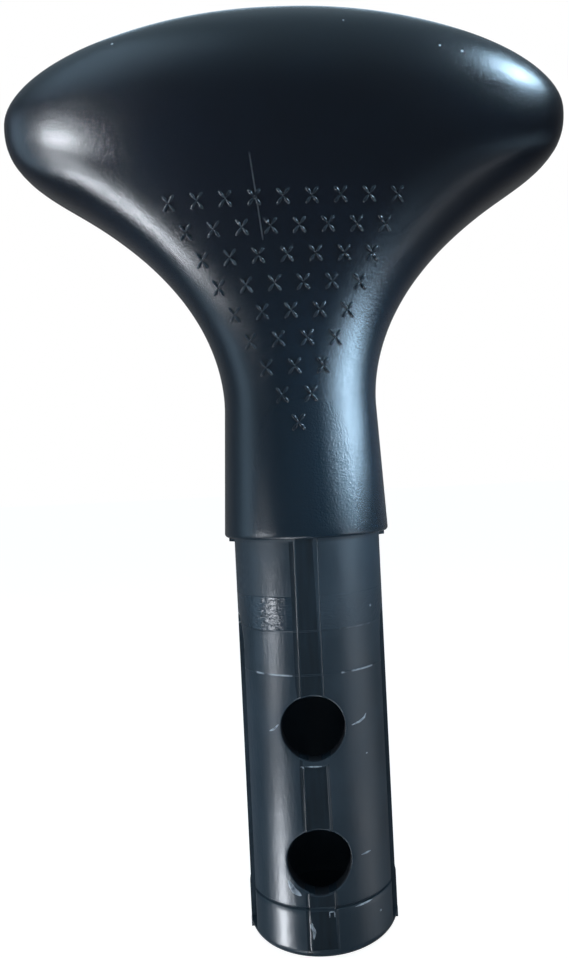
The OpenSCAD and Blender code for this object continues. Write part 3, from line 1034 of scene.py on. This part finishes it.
def cross_tree():
    """Rows of crosses thrown onto a skin from the front, each row a cross shorter than the last."""
    tree = bpy.data.node_groups.new("Raised crosses", "GeometryNodeTree")
    for name, kind in (
            ("Geometry", "Geometry"), ("Skin", "Object"), ("Rows", "Int"), ("First row", "Float"),
            ("Pitch", "Float"), ("Row step", "Float"), ("Shift", "Float"),
            ("Stroke length", "Float"), ("Stroke width", "Float"), ("Relief", "Float"),
            ("Angle", "Float"), ("Lean", "Float"), ("Finish", "Material")):
        tree.interface.new_socket(name, in_out="INPUT", socket_type="NodeSocket" + kind)
    tree.interface.new_socket("Geometry", in_out="OUTPUT", socket_type="NodeSocketGeometry")
    into = put(tree, "NodeGroupInput").outputs

    # an arm is a low dome, narrow at the cross's centre and broad at its end
    at = put(tree, "ShaderNodeSeparateXYZ", None,
             {0: put(tree, "GeometryNodeInputPosition").outputs[0]}).outputs
    swell = put(tree, "ShaderNodeMapRange", {"interpolation_type": "LINEAR"},
                {"Value": at["X"], "From Min": -1.0, "From Max": 1.0,
                 "To Min": 0.55, "To Max": 1.15})
    values = {socket.name: socket for socket in into}
    values["Index"] = put(tree, "GeometryNodeInputIndex").outputs[0]
    values.update({"X": at["X"], "Y": at["Y"], "Z": at["Z"], "Swell": swell.outputs[0]})
    for name, operation, a, b in CROSS_STEPS:
        values[name] = put(tree, "ShaderNodeMath", {"operation": operation},
                           {0: values.get(a, a), 1: values.get(b, b)}).outputs[0]

    # one point for each cross in front of the grip, thrown back onto its skin
    spot = put(tree, "ShaderNodeCombineXYZ", None,
               {"X": values["Across"], "Y": -60 * MM, "Z": values["Height"]}).outputs[0]
    points = put(tree, "GeometryNodePoints", None, {"Count": values["Count"], "Position": spot})
    skin = put(tree, "GeometryNodeObjectInfo", {"transform_space": "ORIGINAL"},
               {"Object": into["Skin"]})
    cast = put(tree, "GeometryNodeRaycast", None,
               {"Target Geometry": skin.outputs["Geometry"], "Ray Direction": (0, 1, 0),
                "Ray Length": 120 * MM}).outputs
    turn = put(tree, "FunctionNodeAxesToRotation", {"primary_axis": "Z", "secondary_axis": "X"},
               {"Primary Axis": cast["Hit Normal"], "Secondary Axis": (1, 0, 0)})
    held = put(tree, "GeometryNodeCaptureAttribute", {"domain": "POINT"},
               {"Geometry": points.outputs[0]})
    held.capture_items.new("ROTATION", "Turn")
    held.capture_items.new("VECTOR", "Hit")
    tree.links.new(turn.outputs[0], held.inputs["Turn"])
    tree.links.new(cast["Hit Position"], held.inputs["Hit"])
    seated = put(tree, "GeometryNodeSetPosition", None,
                 {"Geometry": held.outputs["Geometry"], "Position": held.outputs["Hit"]})

    ball = put(tree, "GeometryNodeMeshIcoSphere", None, {"Radius": 1.0, "Subdivisions": 3})
    ball = put(tree, "GeometryNodeSetShadeSmooth", None, {"Geometry": ball.outputs[0]})
    dome = put(tree, "ShaderNodeCombineXYZ", None,
               {"X": values["Arm X"], "Y": values["Arm Y"], "Z": values["Arm Z"]})
    arm = put(tree, "GeometryNodeSetPosition", None,
              {"Geometry": ball.outputs[0], "Position": dome.outputs[0]}).outputs[0]
    arms = put(tree, "GeometryNodeJoinGeometry")
    for sign, start in ((1, 0.0), (-1, 0.0), (1, math.pi), (-1, math.pi)):
        spin = put(tree, "ShaderNodeMath", {"operation": "MULTIPLY_ADD"},
                   {0: into["Angle"], 1: float(sign), 2: start}).outputs[0]
        spin = put(tree, "ShaderNodeCombineXYZ", None, {"Z": spin}).outputs[0]
        # the arms that fall to the right stand higher, so that they catch more light
        tall = (1, 1, 0.8 if sign > 0 else 1.25)
        one = put(tree, "GeometryNodeTransform", None,
                  {"Geometry": arm, "Rotation": spin, "Scale": tall}).outputs[0]
        tree.links.new(one, arms.inputs[0])
    copies = put(tree, "GeometryNodeInstanceOnPoints", None,
                 {"Points": seated.outputs[0], "Instance": arms.outputs[0],
                  "Rotation": held.outputs["Turn"]})
    solid = put(tree, "GeometryNodeRealizeInstances", None, {"Geometry": copies.outputs[0]})
    solid = put(tree, "GeometryNodeSetMaterial", None,
                {"Geometry": solid.outputs[0], "Material": into["Finish"]})
    put(tree, "NodeGroupOutput", None, {"Geometry": solid.outputs[0]})
    return tree


def set_inputs(modifier, values):
    """Fills a Geometry Nodes modifier's inputs, found by name and set by identifier."""
    for item in modifier.node_group.interface.items_tree:
        if item.in_out == "INPUT" and item.name in values:
            modifier[item.identifier] = values[item.name]


class PADDLEGRIP_OT_crosses(bpy.types.Operator):
    """Lay the field of raised crosses on the front of the head and neck"""

    bl_idname = "paddlegrip.crosses"
    bl_label = "Raised crosses"

    def execute(self, context):
        s = context.scene.paddle_grip
        field = bpy.data.meshes.new("cross_field")
        holder = new_piece(field)
        modifier = holder.modifiers.new("Raised crosses", "NODES")
        modifier.node_group = cross_tree()
        set_inputs(modifier, {
            "Skin": bpy.data.objects["grip_moulding"],
            "Rows": s.marks.mark_rows,
            "First row": s.marks.mark_top,
            "Pitch": s.marks.mark_pitch,
            "Row step": s.marks.mark_row_step,
            "Shift": s.holes.front_shift,
            "Stroke length": s.marks.mark_length,
            "Stroke width": s.marks.mark_stroke,
            "Relief": s.marks.mark_relief,
            "Angle": s.marks.mark_angle,
            "Lean": s.marks.mark_lean,
            "Finish": cross_finish(s.colours),
        })
        graph = context.evaluated_depsgraph_get()
        data = bpy.data.meshes.new_from_object(holder.evaluated_get(graph))
        holder.modifiers.clear()
        if len(data.polygons) < 100:
            raise RuntimeError("the crosses did not land on the moulding")
        bpy.data.objects.remove(holder)
        bpy.data.meshes.remove(field)
        data.name = "raised_crosses"
        piece = new_piece(data)
        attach(piece, "root")
        return {"FINISHED"}


# Torn flash, nicks and painted highlights: the pale ridges at the hole rims and along the collar's
# top edge stand for light caught there.
# Each row: what the heights are measured from, a path of (turn in degrees, height), its width and
# how far it stands out, in millimetres
FLASH_AND_HIGHLIGHTS = (
    # pale ticks beside the holes: small ridges, pale partly as painted highlights on the rims
    ("upper hole", ((-37.4, -0.8), (-32.5, -0.3), (-28.4, 0.6)), 0.38, 0.12),
    ("upper hole", ((26.3, -0.2), (34, 0.1), (38.5, 0.5), (40.8, 1.2)), 0.42, 0.12),
    ("lower hole", ((29.5, 0), (39, 0.1)), 0.3, 0.1),
    ("shank", ((50.4, -12.3), (52.6, -12.3)), 0.46, 0.16),
    ("shank", ((38.5, -36.7), (40.4, -36.7)), 0.26, 0.08),
    # torn edge under the lower hole, pale partly as a painted highlight on the rim
    ("lower hole", ((-27.0, -3.2), (-22.5, -4.8), (-16.5, -5.5)), 1.0, 0.22),
    ("lower hole", ((-26.0, -3.4), (-21.5, -5.4)), 0.7, 0.26),
    # step where the strip starts again under the upper hole, and its torn corner
    ("upper hole", ((-13.5, -6.2), (4.5, -6.2)), 0.24, 0.07),
    ("upper hole", ((-11.6, -6.3), (-9.8, -6.3)), 0.42, 0.12),
    # tear down the collar, a small square nick, a dot, and a painted highlight along its top edge at
    # the right
    ("collar", ((-9.6, -62.2), (-10.0, -63.4), (-8.2, -64.3), (-9.6, -66.2)), 0.7, 0.22),
    ("collar", ((3.0, -61.2), (7.0, -61.2)), 0.2, 0.1),
    ("collar", ((6.8, -61.1), (6.8, -62.2)), 0.2, 0.1),
    ("collar", ((3.2, -61.1), (3.2, -62.2)), 0.14, 0.06),
    ("collar", ((44.6, -63.7), (46.8, -63.7)), 0.36, 0.14),
    ("collar", ((22.0, -61.15), (30.0, -61.1), (38.0, -61.05)), 0.34, 0.08),
)


def sliver(shell, r, path, width, height):
    """A thin raised ridge on a round through (turn in degrees, height) places, pointed ends."""
    path = np.array(path, float)
    count = 12
    t = np.linspace(0, 1, count + 2)[1:-1]
    k = np.linspace(0, 1, len(path))
    turn = np.radians(np.interp(t, k, path[:, 0]))
    z = np.interp(t, k, path[:, 1])
    run = np.array([np.gradient(turn) * r, np.gradient(z)]).T
    run /= np.linalg.norm(run, axis=1, keepdims=True)
    seat = r - 0.01
    rings = []
    for i in range(count):
        fat = math.sin(math.pi * t[i]) ** 0.6
        out = np.array([math.sin(turn[i]), -math.cos(turn[i]), 0])
        side = np.array([math.cos(turn[i]), math.sin(turn[i]), 0])
        flat = -run[i][1] * side + run[i][0] * np.array([0, 0, 1])
        centre = seat * out + np.array([0, 0, z[i]])
        rings.append(shell.add([
            centre + fat * (math.cos(a) * width / 2 * flat + math.sin(a) * height * out)
            for a in np.linspace(0, 2 * math.pi, 9)[:-1]]))
    for one, two in zip(rings, rings[1:]):
        shell.bridge(one, two)
    for ring, place in ((rings[0], path[0]), (rings[-1], path[-1])):
        a = math.radians(place[0])
        shell.cap(ring, (seat * math.sin(a), -seat * math.cos(a), place[1]))


class PADDLEGRIP_OT_flash_and_highlights(bpy.types.Operator):
    """Add the torn flash beside the holes, the few nicks in the shank and collar, and pale slivers
    painted as highlights on the hole rims and the collar's top edge
    """

    bl_idname = "paddlegrip.flash"
    bl_label = "Flash, nicks and painted highlights"

    def execute(self, context):
        s = context.scene.paddle_grip
        g = in_mm(s.head, s.shank, s.holes)
        shell = Shell()
        r = g.shank_diameter / 2
        up, low = hole_heights(g)
        bases = {"upper hole": (up, r), "lower hole": (low, r), "shank": (0, r),
                 "collar": (0, r + g.collar_step)}
        for base, path, width, height in FLASH_AND_HIGHLIGHTS:
            start, radius = bases[base]
            sliver(shell, radius, [(turn, start + z) for turn, z in path], width, height)
        data = shell.mesh("flash_marks")
        data.materials.append(pale_flash_and_highlight_finish(s.colours))
        piece = new_piece(data)
        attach(piece, "root")
        return {"FINISHED"}


# Studio

# The lamps stand where highlights of the photograph come from. Most are close and shielded, so
# that each lights one place: name, the place it faces, azimuth, elevation, width and height in
# degrees, level, tint, distance and spread.
NECK = (0.008, -0.011, 0.024)
LAMPS = (
    ("Left window", (-0.038, -0.011, 0.068), -51, 15, 11, 11, 1.9, "plain", 0.16, 20),
    ("Left window sill", (-0.035, -0.011, 0.064), -58, -7, 10, 14, 0.9, "plain", 0.16, 16),
    ("Flank lamp", (-0.031, -0.010, 0.060), -63, -27, 12, 14, 3.0, "plain", 0.2, 12),
    ("Cross lamp", (0, -0.013, 0.038), 79, 47, 8, 8, 0.9, "cool", 0.3, 16),
    ("Lip lamp", (-0.006, -0.013, 0), -40, -64, 34, 16, 1.6, "plain", 0.15, 30),
    ("Left side lamp", (-0.012, -0.01, 0.03), -88, 8, 20, 50, 0.19, "cool", 0.45, 180),
    ("Upper left lamp", (-0.03, -0.011, 0.08), -62, 58, 34, 34, 0.14, "cool", 0.45, 180),
    ("Shank lamp", (-0.006, -0.012, -0.011), -62, -10, 14, 6, 0.4, "plain", 0.3, 34),
    ("Tall left lamp", (-0.006, -0.012, -0.030), -72, -17, 12, 22, 0.045, "plain", 0.3, 50),
    ("Low left lamp", (-0.007, -0.011, -0.061), -66, -30, 13, 15, 1.2, "plain", 0.2, 24),
    ("Neck window pane", NECK, 42, 7, 15, 11, 0.15, "cool", 0.17, 24),
    ("Neck window pane", NECK, 57, 7, 15, 11, 0.8, "cool", 0.17, 24),
    ("Neck window pane", NECK, 75, 7, 15, 11, 1.55, "cool", 0.17, 24),
    ("Neck window pane", NECK, 93, 7, 15, 11, 0.55, "cool", 0.17, 24),
    ("Crown window", (0.038, -0.010, 0.077), 79, 47, 14, 22, 0.8, "cool", 0.2, 50),
    ("Small right lamp", (0.007, -0.011, -0.004), 66, -7, 16, 9, 0.2, "cool", 0.2, 20),
    ("Low right lamp", (0.009, -0.01, -0.042), 78, -20, 44, 40, 0.6, "plain", 0.15, 50),
    ("Strip lamp", (0.002, -0.013, -0.022), 64, -14, 8, 24, 0.08, "plain", 0.3, 60),
    ("Back lamp", (0, 0.014, 0.04), 180, 44, 36, 20, 0.12, "cool", 0.4, 180),
)
# A front fill behind a polarising sheet: it shows the colours and leaves no glare
FILL = ("Polarised front fill", (0, -0.01, 0.01), 8, 6, 60, 60, 0.5, "plain", 0.5, 180)


def direction(azimuth, elevation):
    """Unit vector from the grip: azimuth 0 is the front, 90 is +X."""
    a, e = math.radians(azimuth), math.radians(elevation)
    return Vector((math.sin(a) * math.cos(e), -math.cos(a) * math.cos(e), math.sin(e)))


def soft_lamp(colours, name, target, azimuth, elevation, wide, high, level, tint, distance, spread):
    """A soft lamp facing a place on the grip. Its size is in degrees as seen from there, and its
    level is how bright a white card facing it there would be. A spread below 180 degrees is a
    grid on its front that keeps its light to that place."""
    data = bpy.data.lights.new(name, "AREA")
    data.shape = "RECTANGLE"
    data.size = 2 * distance * math.tan(math.radians(wide / 2))
    data.size_y = 2 * distance * math.tan(math.radians(high / 2))
    data.energy = level * math.pi ** 2 * distance ** 2
    if spread < 180:
        half = math.radians(spread / 2)
        data.spread = 2 * half
        data.energy *= 1 - half / math.tan(half)
    data.color = colours[tint][:3]
    lamp = bpy.data.objects.new(name, data)
    lamp.location = Vector(target) + distance * direction(azimuth, elevation)
    lamp.rotation_euler = direction(azimuth, elevation).to_track_quat("Z", "Y").to_euler()
    lamp.visible_camera = False
    bpy.context.scene.collection.objects.link(lamp)
    return lamp


def studio_world():
    """White to the camera, and a dim room to the rest, cooler overhead and paler at the back.
    Reflections see that room too: white all round would lay a pale film on black plastic."""
    world = bpy.data.worlds.new("Soft studio")
    world.use_nodes = True
    t = world.node_tree
    t.nodes.clear()
    way = put(t, "ShaderNodeSeparateXYZ", None,
              {0: put(t, "ShaderNodeTexCoord").outputs["Generated"]}).outputs
    high = put(t, "ShaderNodeMapRange", SMOOTHSTEP,
               {"Value": way["Z"], "From Min": 0.4, "From Max": 1.0}).outputs[0]
    walls, ceiling = (0.045, 0.05, 0.055, 1), (0.26, 0.38, 0.46, 1)
    room = put(t, "ShaderNodeMix", COLOUR_MIX, {"Factor": high, "A": walls, "B": ceiling})
    back = put(t, "ShaderNodeMapRange", SMOOTHSTEP,
               {"Value": way["Y"], "From Min": 0.1, "From Max": 0.9, "To Max": 0.13}).outputs[0]
    room = put(t, "ShaderNodeMix", {**COLOUR_MIX, "blend_type": "ADD"},
               {"Factor": 1.0, "A": room.outputs["Result"], "B": back})
    room = put(t, "ShaderNodeBackground", None,
               {"Color": room.outputs["Result"], "Strength": 1.0})
    white = put(t, "ShaderNodeBackground", None, {"Color": (1, 1, 1, 1), "Strength": 1.0})
    ray = put(t, "ShaderNodeLightPath").outputs
    seen = put(t, "ShaderNodeMath", MAXIMUM,
               {0: ray["Is Camera Ray"], 1: ray["Is Transmission Ray"]}).outputs[0]
    both = put(t, "ShaderNodeMixShader", None, {0: seen, 1: room.outputs[0], 2: white.outputs[0]})
    put(t, "ShaderNodeOutputWorld", None, {"Surface": both.outputs[0]})
    return world


def floor_finish(c):
    """Matte white card: no gloss, and kept white to the camera."""
    m, t, coords = new_finish("Matte white card")
    tooth = put(t, "ShaderNodeTexNoise", None,
                {"Vector": coords, "Scale": 1 / (1.5 * MM), "Detail": 2.0})
    bump = put(t, "ShaderNodeBump", None,
               {"Height": tooth.outputs[0], "Strength": 0.1, "Distance": 0.05 * MM}).outputs[0]
    card = put(t, "ShaderNodeBsdfDiffuse", None, {"Color": c.floor_white, "Normal": bump})
    glow = put(t, "ShaderNodeEmission", None, {"Color": (1, 1, 1, 1), "Strength": 0.93})
    thin = put(t, "ShaderNodeBsdfDiffuse", None, {"Color": (0.3, 0.3, 0.3, 1), "Normal": bump})
    white = put(t, "ShaderNodeAddShader", None, {0: thin.outputs[0], 1: glow.outputs[0]})
    ray = put(t, "ShaderNodeLightPath").outputs
    seen = put(t, "ShaderNodeMixShader", None,
               {0: ray["Is Camera Ray"], 1: card.outputs[0], 2: white.outputs[0]})
    put(t, "ShaderNodeOutputMaterial", None, {"Surface": seen.outputs[0]})
    return m


def photo_camera():
    """The camera fitted to the photograph, whose frame is 569 x 958 pixels."""
    wide, high = 569, 958
    focal, centre_x, centre_y = 745.94, 323.87, 478.36  # in pixels
    camera = bpy.data.cameras.new("Photo camera")
    camera.sensor_fit = "VERTICAL"
    camera.sensor_height = 24
    camera.lens = focal / high * 24
    camera.shift_x = (wide / 2 - centre_x) / high
    camera.shift_y = (centre_y - high / 2) / high
    camera.clip_start, camera.clip_end = 0.005, 50
    holder = bpy.data.objects.new("Photo camera", camera)
    lean = Matrix.Rotation(-0.048, 3, "Z") @ Matrix.Rotation(0.001, 3, "X")
    upright = Matrix(((1, 0, 0), (0, 0, -1), (0, 1, 0)))
    turn = lean @ upright @ Matrix.Rotation(0.030, 3, "Z")
    away = Vector((-3.109, 9.801, 134.932)) * MM
    holder.matrix_world = Matrix.Translation(-(turn.transposed() @ away)) @ (
        turn.transposed() @ Matrix.Diagonal((1, -1, -1))).to_4x4()
    bpy.context.scene.collection.objects.link(holder)
    return holder


class PADDLEGRIP_OT_stage(bpy.types.Operator):
    """Set the white floor, the soft lamps, the world and the camera"""

    bl_idname = "paddlegrip.stage"
    bl_label = "Studio"

    def execute(self, context):
        s = context.scene.paddle_grip
        scene = context.scene
        data = bpy.data.meshes.new("studio_floor")
        z = LOW[2] - 0.02 * MM
        data.from_pydata([(-4, -4, z), (4, -4, z), (4, 4, z), (-4, 4, z)], [], [(0, 1, 2, 3)])
        data.materials.append(floor_finish(s.colours))
        floor = new_piece(data)
        # some lamps stand lower than the floor, so it lets their light through, and it is kept
        # out of the gloss
        floor.visible_glossy = False
        floor.visible_shadow = False
        scene.world = studio_world()
        tints = {"cool": s.colours.window_cool, "plain": s.colours.window_plain}
        for lamp in LAMPS:
            soft_lamp(tints, *lamp)
        soft_lamp(tints, *FILL).visible_glossy = False
        scene.camera = photo_camera()
        scene.view_settings.view_transform = "Standard"
        return {"FINISHED"}


class PADDLEGRIP_PT_panel(bpy.types.Panel):
    """Sidebar panel that lists the grip's pieces and sizes"""

    bl_idname = "PADDLEGRIP_PT_panel"
    bl_label = "Paddle grip"
    bl_space_type = "VIEW_3D"
    bl_region_type = "UI"
    bl_category = "Paddle grip"

    def draw(self, context):
        s = context.scene.paddle_grip
        for operator in OPERATORS:
            self.layout.operator(operator.bl_idname)
        for group in (s.head, s.shank, s.holes, s.marks, s.colours):
            box = self.layout.box()
            for key in group.bl_rna.properties.keys():
                if key not in ("rna_type", "name"):
                    box.prop(group, key)


OPERATORS = (PADDLEGRIP_OT_moulding, PADDLEGRIP_OT_crosses, PADDLEGRIP_OT_flash_and_highlights, PADDLEGRIP_OT_stage)
CLASSES = (HeadSizes, ShankSizes, HoleSizes, MarkSizes, FinishColours, PaddleGripSettings,
           *OPERATORS, PADDLEGRIP_PT_panel)


def register():
    for cls in CLASSES:
        bpy.utils.register_class(cls)
    bpy.types.Scene.paddle_grip = bpy.props.PointerProperty(type=PaddleGripSettings)


def unregister():
    del bpy.types.Scene.paddle_grip
    for cls in reversed(CLASSES):
        bpy.utils.unregister_class(cls)


def main():
    register()
    bpy.ops.paddlegrip.moulding()
    bpy.ops.paddlegrip.crosses()
    bpy.ops.paddlegrip.flash()
    bpy.ops.paddlegrip.stage()


if __name__ == "__main__":
    main()
